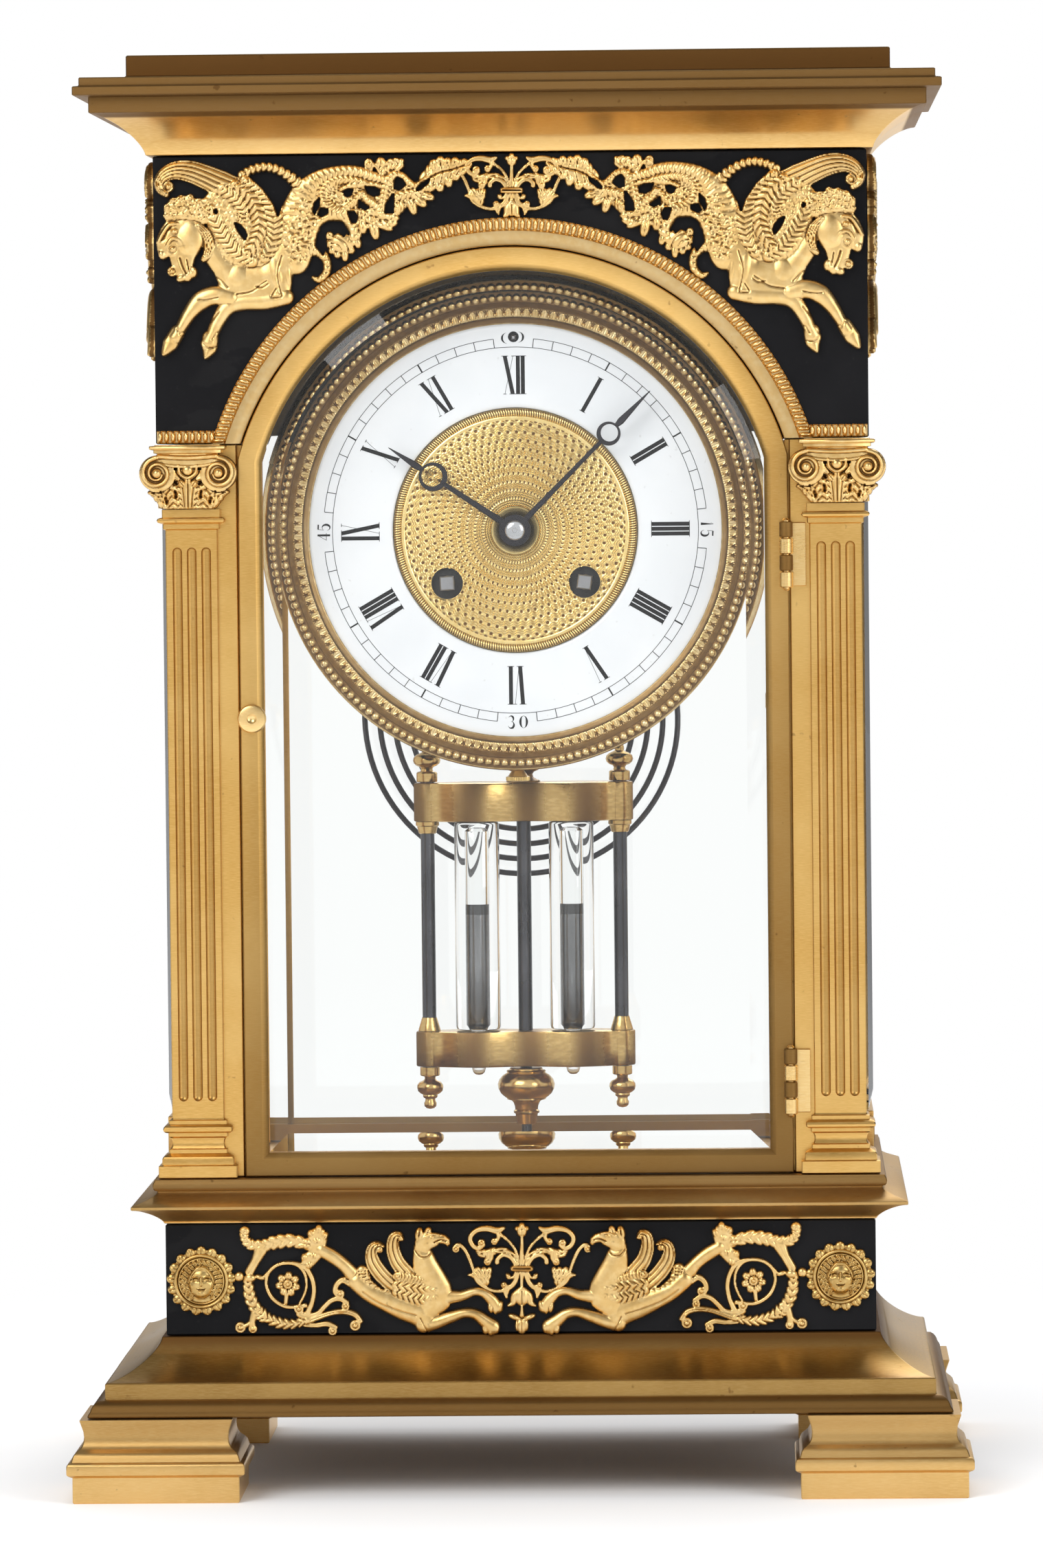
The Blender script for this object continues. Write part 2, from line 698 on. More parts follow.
def scaled(shares, relief, low, height):
    return [(x * relief, low + z * height) for x, z in shares]


def depth(d):
    return d - HALF_D


def make_feet():
    for side, sx in (("left", -1), ("right", 1)):
        for end, sy in (("front", -1), ("rear", 1)):
            centre = (
                sx * (HALF_W + FOOT_OUT - FOOT_W / 2),
                sy * (HALF_D + FOOT_OUT - FOOT_D / 2),
            )
            profile = scaled(FOOT_shares, FOOT_RELIEF, 0, FOOT_H)
            part(moulding(centre, FOOT_W / 2, FOOT_D / 2, profile), f"foot_{end}_{side}", GILT)


def block_profile(low, height):
    return [(-ARRIS, low), (0, low + ARRIS), (0, low + height - ARRIS), (-ARRIS, low + height)]


def make_base():
    shares = BASE_OVOLO_shares + hollow(*BASE_COVE_shares)[::-1] + [(BASE_COVE_shares[0][0], 1)]
    profile = scaled(shares, BASE_PLATE_OUT, PLATE_Z, BASE_PLATE_H)
    part(moulding((0, 0), HALF_W, HALF_D, profile), "base_plate", GILT)
    block = moulding((0, 0), HALF_W, HALF_D, block_profile(BLOCK_Z, BASE_BLOCK_H))
    part(block, "base_block", MARBLE)
    shares = hollow(*CORNICE_COVE_shares) + CORNICE_TOP_shares
    profile = scaled(shares, BASE_CORNICE_OUT, CORNICE_Z, BASE_CORNICE_H)
    cornice = moulding((0, 0), HALF_W, HALF_D, profile)
    top = CORNICE_Z + BASE_CORNICE_H
    for sx in (-1, 1):
        reach = HALF_D - SIDE_BACK
        rail = box((sx * SIDE_IN, -reach, top - OVERRUN), (sx * SIDE_GLASS_X, reach, top + RAIL_H))
        fuse(cornice, rail)
    part(cornice, "base_cornice", GILT)


def turn_round(point, s):
    """A point given for the front, or, with s -1, the same point turned half a turn round Z."""
    return (s * point[0], s * point[1], point[2])


def hinge(s, low, sunk):
    """One hinge, front right or, with s -1, rear left: fixed half, moving knuckles, and what clears them."""
    x, y = HINGE_X, -HALF_D - HINGE_OUT
    length = (HINGE_L - (HINGE_KNUCKLES - 1) * SEAT) / HINGE_KNUCKLES
    leaf_back = depth(JAMB_SET) - SEAT + sunk
    leaf_x = x + LEAF_IN
    pin_ends = [turn_round((x, y, z), s) for z in (low - ARRIS, low + HINGE_L + ARRIS)]
    pin = rod(*pin_ends, PIN_R, HINGE_SIDES)
    leaf = box(
        turn_round((leaf_x, depth(JAMB_SET) - SEAT - LEAF_T, low + ARRIS), s),
        turn_round((leaf_x + LEAF_W, leaf_back, low + HINGE_L - ARRIS), s),
    )
    moving, reliefs = [], []
    for i in range(HINGE_KNUCKLES):
        bottom = low + i * (length + SEAT)
        top = bottom + length
        ends = turn_round((x, y, bottom), s), turn_round((x, y, top), s)
        barrel = rod(*ends, HINGE_R, HINGE_SIDES)
        if i % 2 == 0:
            web = box(
                turn_round((leaf_x + ARRIS / 2, y, bottom + ARRIS / 2), s),
                turn_round((leaf_x + WEB_W, depth(JAMB_SET) - 2 * SEAT, top - ARRIS / 2), s),
            )
            fuse(leaf, web, barrel)
            above, below = turn_round((x, y, top + SEAT), s), turn_round((x, y, bottom - SEAT), s)
            reliefs.append(rod(below, above, HINGE_R + SEAT, HINGE_SIDES))
        else:
            inner = DOOR_HALF - x - SEAT
            web = box(
                turn_round((x - HINGE_R + ARRIS, y, bottom + ARRIS / 2), s),
                turn_round((x + inner, depth(DOOR_SET) + WEB_W, top - ARRIS / 2), s),
            )
            bore_low = turn_round((x, y, bottom - SEAT / 2), s)
            bore_high = turn_round((x, y, top + SEAT / 2), s)
            bore = rod(bore_low, bore_high, PIN_R + PIN_CLEARANCE, HINGE_SIDES)
            moving.append((barrel, web, bore))
    fuse(leaf, pin)
    return leaf, moving, reliefs


def post(side, sx, sy):
    """A corner post: base, shaft and neck in one turned-square form, with jamb, stop and tongue."""
    x = sx * POST_X
    shaft_top = POST_TOP - NECK_DROP - NECK_H
    profile = scaled(POST_BASE_shares, POST_BASE_RELIEF, POST_Z, POST_BASE_H)
    profile += [(0, shaft_top)]
    profile += scaled(NECK_shares, NECK_RELIEF, shaft_top, NECK_H)
    if sy > 0:
        head = POST_TOP - REAR_HEAD_H
        profile += [(profile[-1][0], head - ABACUS_STEP), (REAR_HEAD_RELIEF, head)]
        profile += [(REAR_HEAD_RELIEF, POST_TOP)]
    rings = []
    for out, z in profile:
        half = SHAFT_W / 2 + out
        front, back = sy * (HALF_D - SHAFT_SET + out), sy * (HALF_D - SHAFT_BACK)
        rings.append([(x - half, front, z), (x + half, front, z), (x + half, back, z), (x - half, back, z)])
    body = loft(rings)
    flute_low = POST_Z + POST_BASE_H + FLUTE_MARGIN
    flute_high = shaft_top - FLUTE_MARGIN
    face = sy * (HALF_D - SHAFT_SET)
    for i in range(FLUTES):
        at = x + (i - (FLUTES - 1) / 2) * FLUTE_PITCH
        r = FLUTE_W / 2
        steps = FLUTE_SIDES // 2
        turns = [math.pi * k / steps for k in range(steps + 1)]
        ball = [(r * math.sin(a), r * math.cos(a)) for a in turns]
        ball[0], ball[-1] = (0, r), (0, -r)
        half = steps // 2
        groove = [(a, flute_high - r + b) for a, b in ball[: half + 1]]
        groove += [(a, flute_low + r + b) for a, b in ball[half:]]
        cut(body, turned(groove, (at, face, 0), FLUTE_SIDES))
    jamb = box(
        (sx * JAMB_X, sy * (HALF_D - JAMB_SET), POST_Z),
        (sx * (SHAFT_IN + JAMB_LAP), sy * (HALF_D - SHAFT_BACK), POST_TOP),
    )
    stop = box(
        (sx * (JAMB_X - STOP_W), sy * (HALF_D - STOP_SET), POST_Z),
        (sx * (JAMB_X + JAMB_LAP), sy * (HALF_D - SHAFT_BACK + ARRIS), POST_TOP),
    )
    tongue = box(
        (sx * (SIDE_IN - SEAT - TONGUE_W), sy * (HALF_D - SHAFT_BACK + JAMB_LAP), POST_Z),
        (sx * (SIDE_IN - SEAT), sy * (HALF_D - SHAFT_BACK - TONGUE_D), POST_TOP),
    )
    fuse(body, jamb, stop, tongue)
    return body


def make_posts():
    part(post("left", -1, -1), "pilaster_left", GILT)
    part(post("right", 1, -1), "pilaster_right", GILT)
    part(post("right", 1, 1), "rear_post_right", GILT)
    hinged = post("left", -1, 1)
    for low in (HINGE_LOW_Z, HINGE_HIGH_Z):
        leaf, _, _ = hinge(-1, low, JAMB_LAP + SEAT)
        fuse(hinged, leaf)
    part(hinged, "rear_post_left", GILT)


def capital(sx):
    """Ionic capital: bell, volutes, the band between them and the abacus, open behind for the jamb."""
    x = sx * CAPITAL_X
    low = POST_TOP - NECK_DROP + SEAT
    inner_x = sx * (SHAFT_IN + JAMB_LAP + SEAT)
    front_back = depth(JAMB_SET) - SEAT
    back = depth(SHAFT_BACK - JAMB_LAP) - SEAT
    band_top = POST_TOP - BAND_DROP
    band_low = band_top - BAND_H
    half = BELL_W / 2
    near, far = depth(0) - BELL_FRONT, back
    outer_x = x + sx * half
    flared_x = outer_x + sx * BELL_FLARE
    bell_low = [(inner_x, near + BELL_FLARE), (outer_x, near + BELL_FLARE), (outer_x, far), (inner_x, far)]
    bell_high = [(inner_x, near), (flared_x, near), (flared_x, far), (inner_x, far)]
    body = loft([[(a, b, low) for a, b in bell_low], [(a, b, band_low + ARRIS) for a, b in bell_high]])
    band = box((x - BAND_W / 2, depth(0) - BAND_FRONT, band_low), (x + BAND_W / 2, front_back, band_top))
    rear = box((inner_x, front_back - ARRIS, band_low), (x + sx * BAND_W / 2, back, band_top))
    top_low = POST_TOP - SEAT - 2 * ABACUS_H
    lower = box(
        (x - ABACUS_W / 2 + ABACUS_STEP, depth(0) - CAPITAL_FRONT, band_top - ARRIS),
        (x + ABACUS_W / 2 - ABACUS_STEP, front_back, top_low + ABACUS_H),
    )
    upper = box(
        (x - ABACUS_W / 2, depth(0) - CAPITAL_FRONT - ABACUS_OUT, top_low + ABACUS_H - ARRIS / 2),
        (x + ABACUS_W / 2, front_back, POST_TOP - SEAT),
    )
    rear_top = box(
        (inner_x, front_back - ARRIS, band_top - ARRIS), (x + sx * ABACUS_W / 2, back, POST_TOP - SEAT)
    )
    leaf_at = depth(0) - BELL_FRONT + LEAF_R / 2
    leaf = rod((x, leaf_at, low), (x, leaf_at, band_low + ARRIS), LEAF_R, SMALL_SIDES)
    fuse(body, band, rear, lower, upper, rear_top, leaf)
    z = POST_TOP - VOLUTE_DROP
    for way in (-1, 1):
        vx = x + way * VOLUTE_X
        end = back if way == sx else front_back
        front = depth(0) - CAPITAL_FRONT
        scroll = rod((vx, front, z), (vx, end, z), VOLUTE_R, VOLUTE_SIDES)
        eye = rod((vx, front - EYE_OUT, z), (vx, front + EYE_R, z), EYE_R, SMALL_SIDES)
        fuse(body, scroll, eye)
    return body


def arch_outline(inset):
    """The door's outline, moved in by inset: two bottom corners, then the arch from right to left."""
    half, radius = DOOR_HALF - inset, ARCH_R - inset
    first = math.acos(half / radius)
    points = [(-half, DOOR_Z + inset), (half, DOOR_Z + inset)]
    for i in range(ARCH_STEPS + 1):
        a = first + (math.pi - 2 * first) * i / ARCH_STEPS
        points.append((radius * math.cos(a), ARCH_Z + radius * math.sin(a)))
    return points


def door_ring(inset, behind, s):
    return [turn_round((x, depth(DOOR_SET + behind), z), s) for x, z in arch_outline(inset)]


def make_door(end, s):
    """Door frame, glass and catch for the front, or turned half round for the rear."""
    section = [
        (0, 0), (FRAME_FLAT, 0), (FRAME_W, FRAME_CHAMFER), (FRAME_W, FRAME_LIP),
        (REBATE_W, FRAME_LIP), (REBATE_W, DOOR_T), (0, DOOR_T),
    ]
    frame = loft([door_ring(u, v, s) for u, v in section], True)
    axis = turn_round((HINGE_X, -HALF_D - HINGE_OUT, 0), s)
    for low in (HINGE_LOW_Z, HINGE_HIGH_Z):
        leaf, moving, reliefs = hinge(s, low, 0)
        cut(frame, *reliefs)
        for barrel, web, bore in moving:
            fuse(frame, web, barrel)
            cut(frame, bore)
        if s > 0:
            name = "front_hinge_lower" if low == HINGE_LOW_Z else "front_hinge_upper"
            part(leaf, name, GILT)
    shank = [turn_round((-CATCH_X, depth(d), CATCH_Z), s) for d in (DOOR_SET - OVERRUN, STOP_SET + OVERRUN)]
    cut(frame, rod(*shank, SHANK_R + SHANK_CLEARANCE, HINGE_SIDES))
    part(frame, f"{end}_door_frame", GILT, axis)

    edge = FRAME_LIP + SEAT
    crown = edge - GLASS_CROWN
    pane = [
        (REBATE_W + SEAT, edge + GLASS_T), (REBATE_W + SEAT, edge),
        (REBATE_W + SEAT + GLASS_LAND, edge), (REBATE_W + SEAT + GLASS_LAND + BEVEL_W, crown),
    ]
    part(loft([door_ring(u, v, s) for u, v in pane]), f"{end}_door_glass", GLASS, axis)

    face = DOOR_SET - SEAT
    behind = SHAFT_BACK + TURN_ROOM
    profile = [
        (0, face - CATCH_OUT + DIMPLE_D), (DIMPLE_R, face - CATCH_OUT),
        (CATCH_R - CATCH_EDGE, face - CATCH_OUT), (CATCH_R, face - CATCH_OUT + CATCH_EDGE),
        (CATCH_R, face), (SHANK_R, face), (SHANK_R, behind + TURN_T / 2), (0, behind + TURN_T / 2),
    ]
    place = turn_round((-CATCH_X, -HALF_D, CATCH_Z), s)
    knob = turned(profile, place, CATCH_STEPS, True)
    if s < 0:
        about = Matrix.Translation(place) @ Matrix.Rotation(math.pi, 4, "Z")
        knob.data.transform(about @ Matrix.Translation(place).inverted())
    tongue = box(
        turn_round((-CATCH_X - TURN_W / 2, depth(behind), CATCH_Z - TURN_L), s),
        turn_round((-CATCH_X + TURN_W / 2, depth(behind + TURN_T), CATCH_Z + TURN_W / 2), s),
    )
    fuse(knob, tongue)
    part(knob, f"{end}_door_catch", GILT)


def make_side_glasses():
    back = HALF_D - SIDE_BACK
    for side, sx in (("left", -1), ("right", 1)):
        rings = []
        for inset, x in (
            (0, SIDE_IN), (0, SIDE_IN + SIDE_EDGE_T), (BEVEL_W, SIDE_GLASS_X),
        ):
            half, low, high = back - inset, GLASS_Z + inset, POST_TOP - inset
            ring = [(sx * x, half, high), (sx * x, -half, high)]
            r = max(SIDE_CORNER_R - inset / 2, ARRIS)
            for sy, first in ((-1, math.pi), (1, 1.5 * math.pi)):
                for i in range(CORNER_STEPS + 1):
                    a = first + math.pi / 2 * i / CORNER_STEPS
                    cy = sy * (half - r)
                    ring.append((sx * x, cy + r * math.cos(a), low + r + r * math.sin(a)))
            rings.append(ring)
        part(loft(rings), f"side_glass_{side}", GLASS)


def make_upper():
    block = moulding((0, 0), HALF_W, HALF_D, block_profile(UPPER_Z, UPPER_H))
    centre = (0, 0, ARCH_Z)
    tunnel = rod((0, -HALF_D - OVERRUN, ARCH_Z), (0, HALF_D + OVERRUN, ARCH_Z), SOFFIT_R, 2 * ARCH_STEPS)
    cut(block, tunnel)
    for sy in (-1, 1):
        rebate = rod(
            (0, sy * (HALF_D + OVERRUN), centre[2]),
            (0, sy * (HALF_D - STOP_SET), centre[2]),
            REBATE_R,
            2 * ARCH_STEPS,
        )
        cut(block, rebate)
    part(block, "upper_block", MARBLE)

    shares = hollow(*TOP_COVE_shares) + TOP_shares
    profile = scaled(shares, TOP_OUT, TOP_Z, TOP_H)
    part(moulding((0, 0), HALF_W, HALF_D, profile), "top_cornice", GILT)


def make_arch_moulding():
    """Lining, splayed face and gadrooned band swept round the arch, with the straight ends of the band."""
    band_r = MOULDING_OUTER - BEAD_H
    section = [(MOULDING_R, DOOR_SET + DOOR_T)]
    smooth_w = band_r - MOULDING_R
    section += [(MOULDING_R + u * smooth_w, -v * MOULDING_OUT) for u, v in SMOOTH_shares]
    section += [(band_r + u * BEAD_H, -v * MOULDING_OUT) for u, v in BAND_shares]
    section += [(MOULDING_OUTER, -SEAT), (MOULDING_R + LINING_T, -SEAT)]
    section += [(MOULDING_R + LINING_T, DOOR_SET + DOOR_T)]
    rings = []
    for i in range(ARCH_STEPS + 1):
        ring = []
        for r, d in section:
            first = math.asin(ARCH_DROP / r)
            a = first + (math.pi - 2 * first) * i / ARCH_STEPS
            ring.append((r * math.cos(a), depth(d), ARCH_Z + r * math.sin(a)))
        rings.append(ring)
    arch = loft(rings)
    for sx in (-1, 1):
        ends = []
        for x in (BEAD_X, HALF_W - ARRIS):
            rise = BEAD_H - BLOCK_BITE
            ring = []
            for u, v in BAND_shares:
                ring.append((sx * x, depth(-v * MOULDING_OUT), UPPER_Z + BLOCK_BITE + u * rise))
            ring += [(sx * x, depth(-SEAT), UPPER_Z + BEAD_H), (sx * x, depth(-SEAT), UPPER_Z + BLOCK_BITE)]
            ends.append(ring)
        fuse(arch, loft(ends))
    part(arch, "arch_moulding", GILT)


def placed(shares, left, low, width, height, mirror=False):
    points = [(left + u * width, low + v * height) for u, v in shares]
    if mirror:
        points = [(-x, z) for x, z in points]
    return points


def mirrored(shares, width, low, height):
    """A closed outline from the right half's shares, top to bottom."""
    half = [(u * width / 2, low + v * height) for u, v in shares]
    inner = [point for point in half if point[0] > 0]
    ends = [point for point in half if point[0] == 0]
    return [ends[0], *inner, ends[-1], *[(-x, z) for x, z in reversed(inner)]]


def mount(outline, holes, name):
    part(flat(outline, holes, MOUNT_T, facing_front(0, -SEAT - MOUNT_T / 2, 0)), name, GILT)


def spandrel_holes(left, low, width, height, mirror):
    holes = []
    for shares in (SPANDREL_LOOP_shares, SPANDREL_SCROLL_shares):
        holes.append(placed(shares, left, low, width, height, mirror))
    for x, z in placed(SPANDREL_EYE_shares, left, low, width, height, mirror):
        holes.append(circle(SPANDREL_EYE_R, EYE_SIDES, x, z))
    return holes


def make_mounts():
    low = UPPER_TOP - SPANDREL_TOP - SPANDREL_H
    left = -HALF_W + SPANDREL_EDGE
    for side, mirror in (("left", False), ("right", True)):
        outline = placed(SPANDREL_shares, left, low, SPANDREL_W, SPANDREL_H, mirror)
        holes = spandrel_holes(left, low, SPANDREL_W, SPANDREL_H, mirror)
        mount(outline, holes, f"spandrel_mount_{side}")
    arch_low = ARCH_Z + MOULDING_OUTER + DOOR_GAP
    mount(mirrored(ARCH_MOUNT_shares, ARCH_MOUNT_W, arch_low, ARCH_MOUNT_H), [], "arch_centre_mount")

    frieze_low = BLOCK_Z + SEAT
    for side, mirror in (("left", False), ("right", True)):
        args = (-FRIEZE_X, frieze_low, FRIEZE_W, FRIEZE_H, mirror)
        holes = [placed(shares, *args) for shares in (FRIEZE_SCROLL_shares, FRIEZE_TAIL_shares)]
        mount(placed(FRIEZE_shares, *args), holes, f"griffin_mount_{side}")
        x = MEDALLION_X if mirror else -MEDALLION_X
        z = BLOCK_Z + BASE_BLOCK_H / 2
        rays = SCALLOP_COUNT * SCALLOP_STEPS
        edge = []
        for i in range(rays):
            a = 2 * math.pi * i / rays
            r = MEDALLION_R * (1 - SCALLOP_share * (i % SCALLOP_STEPS == 0))
            edge.append((x + r * math.cos(a), z + r * math.sin(a)))
        disc = flat(edge, [], MEDALLION_T, facing_front(0, -SEAT - MEDALLION_T / 2, 0))
        w, r = MEDALLION_RIM_W, MEDALLION_RIM_R
        ring = [(r + w, -SEAT - ARRIS), (r + w, -MEDALLION_T), (r, -MEDALLION_T - w), (r - w, -MEDALLION_T)]
        ring += [(r - w, -SEAT - ARRIS)]
        fuse(disc, turned(ring[::-1], (x, -HALF_D, z), MEDALLION_STEPS, True))
        part(disc, f"medallion_{side}", GILT)
    middle = mirrored(CENTRE_MOUNT_shares, CENTRE_MOUNT_W, frieze_low, FRIEZE_H)
    holes = []
    for way in (-1, 1):
        across = way * CENTRE_MOUNT_W / 2
        holes.append([(u * across, frieze_low + v * FRIEZE_H) for u, v in CENTRE_HOLE_shares])
    mount(middle, holes, "frieze_centre_mount")

    lead = 17
    chain = [SIDE_MOUNT_CENTRE_shares[0], *SPANDREL_shares[lead + 1:], *SPANDREL_shares[: lead - 1]]
    chain.append(SIDE_MOUNT_CENTRE_shares[1])
    half = [((u - 1) * SIDE_MOUNT_W, low + v * SPANDREL_H) for u, v in chain]
    outline = half + [(-y, z) for y, z in reversed(half[1:-1])]
    loops = []
    for way in (-1, 1):
        loops.append([(way * (1 - u) * SIDE_MOUNT_W, low + v * SPANDREL_H) for u, v in SPANDREL_LOOP_shares])
    for side, sx in (("left", -1), ("right", 1)):
        turn = Matrix.Rotation(sx * math.pi / 2, 4, "Z") @ Matrix.Rotation(math.pi / 2, 4, "X")
        there = Matrix.Translation((sx * (HALF_W + SEAT + MOUNT_T / 2), 0, 0)) @ turn
        part(flat(outline, loops, MOUNT_T, there), f"side_mount_{side}", GILT)


def make_dial():
    centre = (0, -HALF_D, DIAL_Z)
    span, deep = BEZEL_R - BEZEL_BORE, BEZEL_BACK - BEZEL_FRONT
    profile = [(BEZEL_BORE + u * span, BEZEL_BACK - v * deep) for u, v in BEZEL_shares]
    profile += [(ENAMEL_R + SEAT, ENAMEL_FRONT - SEAT), (ENAMEL_R + SEAT, BEZEL_BACK)]
    part(turned(profile[::-1], centre, BEZEL_STEPS, True), "bezel", GILT)

    inner = CENTRE_R + SEAT
    back = ENAMEL_FRONT + ENAMEL_T
    profile = [
        (inner, ENAMEL_FRONT), (ENAMEL_R - ENAMEL_EDGE, ENAMEL_FRONT),
        (ENAMEL_R, ENAMEL_FRONT + ENAMEL_EDGE), (ENAMEL_R, back), (inner, back),
    ]
    enamel = turned(profile, centre, BEZEL_STEPS, True)
    hole = [(0, depth(d), DIAL_Z + REGULATOR_RISE) for d in (BEZEL_FRONT, CARRIER_FRONT)]
    part(cut(enamel, rod(*hole, REGULATOR_R, SMALL_SIDES)), "dial_enamel", ENAMEL)

    face = ENAMEL_FRONT - CENTRE_PROUD + CENTRE_RIM_PROUD
    profile = [
        (CENTRE_BORE, face - CENTRE_RIM_PROUD), (CENTRE_BOSS_R, face - CENTRE_RIM_PROUD),
        (CENTRE_BOSS_R, face), (CENTRE_R - CENTRE_RIM, face),
        (CENTRE_R - CENTRE_RIM, face - CENTRE_RIM_PROUD), (CENTRE_R, face - CENTRE_RIM_PROUD / 2),
        (CENTRE_R, back), (CENTRE_BORE, back),
    ]
    disc = turned(profile, centre, DIAL_STEPS, True)
    for way in (-1, 1):
        x, z = way * WIND_X, DIAL_Z - WIND_DROP
        ring = rod(
            (x, depth(face - WIND_RING_PROUD), z), (x, depth(back - ARRIS), z),
            WIND_HOLE_R + WIND_RING_W, WIND_SIDES,
        )
        hole = rod((x, depth(BEZEL_FRONT), z), (x, depth(CARRIER_FRONT), z), WIND_HOLE_R, WIND_SIDES)
        fuse(disc, ring)
        cut(disc, hole)
    part(disc, "dial_centre", GILT)


def breguet(length, ring_at, ring_r):
    """Outline and hole of a moon hand that points up from the origin."""
    root, neck = HAND_ROOT_W / 2, HAND_NECK_W / 2
    half = [(root, 0), (neck, ring_at - math.sqrt(ring_r**2 - neck**2))]
    first = -math.acos(neck / ring_r)
    last = math.acos(neck / ring_r)
    for i in range(1, RING_STEPS):
        a = first + (last - first) * i / RING_STEPS
        half.append((ring_r * math.cos(a), ring_at + ring_r * math.sin(a)))
    half.append((neck, ring_at + math.sqrt(ring_r**2 - neck**2)))
    outline = half + [(0, length)] + [(-x, y) for x, y in reversed(half)]
    shift = HAND_RING_W / 3
    return outline, circle(ring_r - HAND_RING_W, 2 * RING_STEPS, 0, ring_at + shift)


def hand(length, ring_at, ring_r, angle, front):
    outline, hole = breguet(length, ring_at, ring_r)
    turn = Matrix.Rotation(-angle, 4, "Z")
    return flat(outline, [hole], HAND_T, facing_front(0, front + HAND_T / 2, DIAL_Z) @ turn)


def make_hands():
    centre = (0, -HALF_D, DIAL_Z)
    pivot = (0, -HALF_D + HOUR_FRONT, DIAL_Z)
    minute = hand(MINUTE_L, MINUTE_RING_AT, MINUTE_RING_R, MINUTE_ANGLE, MINUTE_FRONT)
    cannon_end = FRONT_PLATE_AT - SEAT
    profile = [
        (0, MINUTE_FRONT - COLLET_OUT), (CANNON_R, MINUTE_FRONT - COLLET_OUT),
        (COLLET_R, MINUTE_FRONT - ARRIS), (COLLET_R, MINUTE_FRONT + HAND_T + ARRIS),
        (CANNON_R, MINUTE_FRONT + HAND_T + ARRIS), (CANNON_R, cannon_end), (0, cannon_end),
    ]
    part(fuse(minute, turned(profile, centre, WIND_SIDES, True)), "minute_hand", BLUED, pivot)
    hour = hand(HOUR_L, HOUR_RING_AT, HOUR_RING_R, HOUR_ANGLE, HOUR_FRONT)
    profile = [
        (HOUR_PIPE_BORE, HOUR_FRONT - SEAT), (COLLET_R, HOUR_FRONT - SEAT),
        (COLLET_R, HOUR_FRONT + HAND_T + ARRIS), (HOUR_PIPE_R, HOUR_FRONT + HAND_T + ARRIS),
        (HOUR_PIPE_R, HOUR_PIPE_END), (HOUR_PIPE_BORE, HOUR_PIPE_END),
    ]
    ends = [(0, depth(d), DIAL_Z) for d in (HOUR_FRONT - OVERRUN, HOUR_PIPE_END)]
    bore = rod(*ends, HOUR_PIPE_BORE, WIND_SIDES)
    cut(hour, bore)
    part(fuse(hour, turned(profile, centre, WIND_SIDES, True)), "hour_hand", BLUED, pivot)


def make_plates():
    centre = (0, -HALF_D, DIAL_Z)
    front, back = CARRIER_FRONT, CARRIER_FRONT + CARRIER_T
    ring = [(CARRIER_BORE, front), (CARRIER_R, front), (CARRIER_R, back), (CARRIER_BORE, back)]
    carrier = turned(ring, centre, BEZEL_STEPS, True)
    radius = SOFFIT_R - SEAT
    first = math.asin((ARCH_DROP + SEAT) / radius)
    arc = [first + (math.pi - 2 * first) * i / ARCH_STEPS for i in range(ARCH_STEPS + 1)]
    segment = [(radius * math.cos(a), ARCH_Z + radius * math.sin(a)) for a in arc]
    lunette = flat(segment, [], CARRIER_T, facing_front(0, (front + back) / 2, 0))
    ends = (0, depth(front) - OVERRUN, DIAL_Z), (0, depth(back) + OVERRUN, DIAL_Z)
    window = rod(*ends, CARRIER_BORE, BEZEL_STEPS)
    cut(fuse(carrier, lunette), window)
    part(carrier, "movement_carrier", BLACKED)

    def plate(at, radius, bores):
        disc = rod((0, depth(at), DIAL_Z), (0, depth(at + PLATE_T), DIAL_Z), radius, DIAL_STEPS)
        for x, z, r in bores:
            cut(disc, rod((x, depth(at) - OVERRUN, z), (x, depth(at + PLATE_T) + OVERRUN, z), r, SMALL_SIDES))
        return disc

    wind_z = DIAL_Z - WIND_DROP
    arbor = ARBOR_R + ARBOR_CLEARANCE
    arbors = [(-WIND_X, wind_z, arbor), (WIND_X, wind_z, arbor)]
    front_plate = plate(FRONT_PLATE_AT, PLATE_R, arbors)
    waist = PILLAR_R * PILLAR_WAIST_share
    start, end = FRONT_PLATE_AT + PLATE_T - ARRIS, BACK_PLATE_AT - SEAT
    shape = [
        (0, start), (PILLAR_R, start), (waist, start + 2 * PILLAR_R),
        (waist, end - 2 * PILLAR_R), (PILLAR_R, end), (0, end),
    ]
    for u, v in PILLAR_shares:
        fuse(front_plate, turned(shape, (u * PLATE_R, -HALF_D, DIAL_Z + v * PLATE_R), SMALL_SIDES, True))
    part(front_plate, "movement_front_plate", BRASS)

    bores = [*arbors, (0, PIVOT_Z, THIN_ARBOR_R + ARBOR_CLEARANCE)]
    bores.append((HAMMER_X, DIAL_Z + HAMMER_Z_RISE, THIN_ARBOR_R + ARBOR_CLEARANCE))
    back_plate = plate(BACK_PLATE_AT, BACK_PLATE_R, bores)
    rear = BACK_PLATE_AT + PLATE_T
    under = PIVOT_Z + EYE_RING_R + SEAT + ARRIS
    cock = box((-COCK_W / 2, depth(rear - ARRIS), under), (COCK_W / 2, depth(COCK_BACK), under + COCK_H))
    drop = box(
        (-COCK_W / 4, depth(COCK_BACK - COCK_DROP_T), PIVOT_Z - EYE_RING_R),
        (COCK_W / 4, depth(COCK_BACK), under + ARRIS),
    )
    stud = rod((0, depth(STUD_FRONT), PIVOT_Z), (0, depth(COCK_BACK - ARRIS), PIVOT_Z), STUD_R, SMALL_SIDES)
    head = rod(
        (0, depth(STUD_FRONT - STUD_HEAD_T), PIVOT_Z), (0, depth(STUD_FRONT + ARRIS), PIVOT_Z),
        STUD_HEAD_R, SMALL_SIDES,
    )
    fuse(back_plate, cock, drop, stud, head)
    part(back_plate, "movement_back_plate", BRASS)


